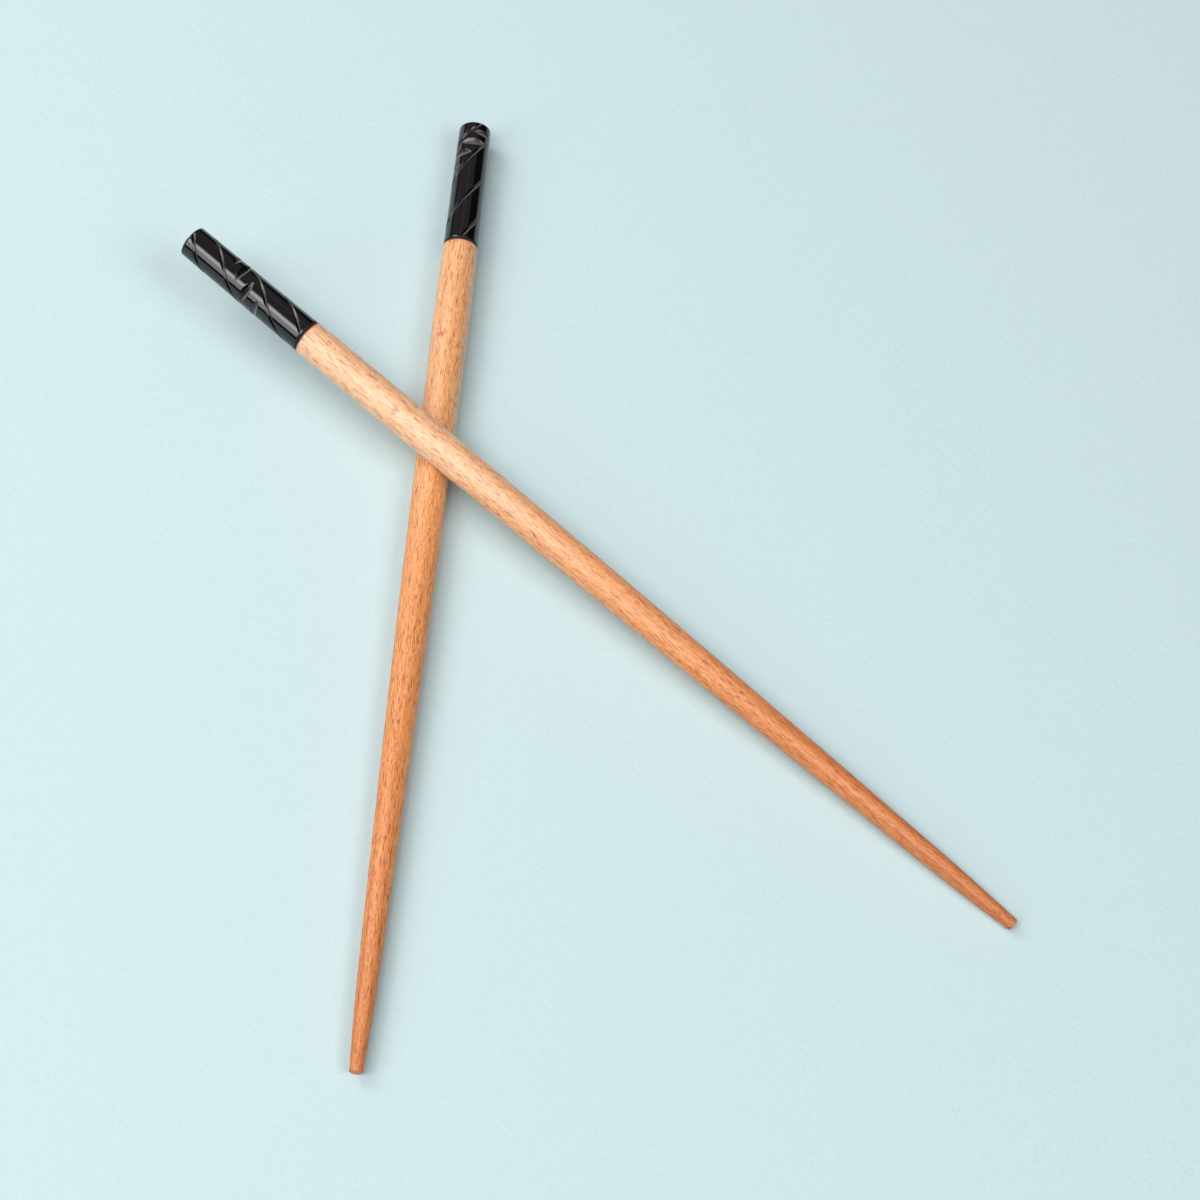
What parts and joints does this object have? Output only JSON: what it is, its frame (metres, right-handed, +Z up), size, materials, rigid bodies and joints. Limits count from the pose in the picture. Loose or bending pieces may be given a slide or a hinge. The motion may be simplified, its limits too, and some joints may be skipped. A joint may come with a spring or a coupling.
{
  "type": "pair of chopsticks",
  "caption": "Pair of round tapered beech chopsticks with glossy black handles carved with winding grooves and leaves, lying crossed; used in one hand to pick up food.",
  "frame": {"origin": "on the table, under the middle of the box round the crossed pair", "axes": "+Y along the lower chopstick towards its handle, +Z up from the table, +X to the right of the lower chopstick"},
  "size_m": [0.1924, 0.23, 0.02],
  "materials": {
    "beech": "satin oiled beech",
    "black_lacquer": "gloss black lacquer"
  },
  "bodies": {
    "root": {"lower_shaft": "beech", "lower_handle": "black_lacquer", "upper_shaft": "beech", "upper_handle": "black_lacquer"}
  },
  "joints": []
}
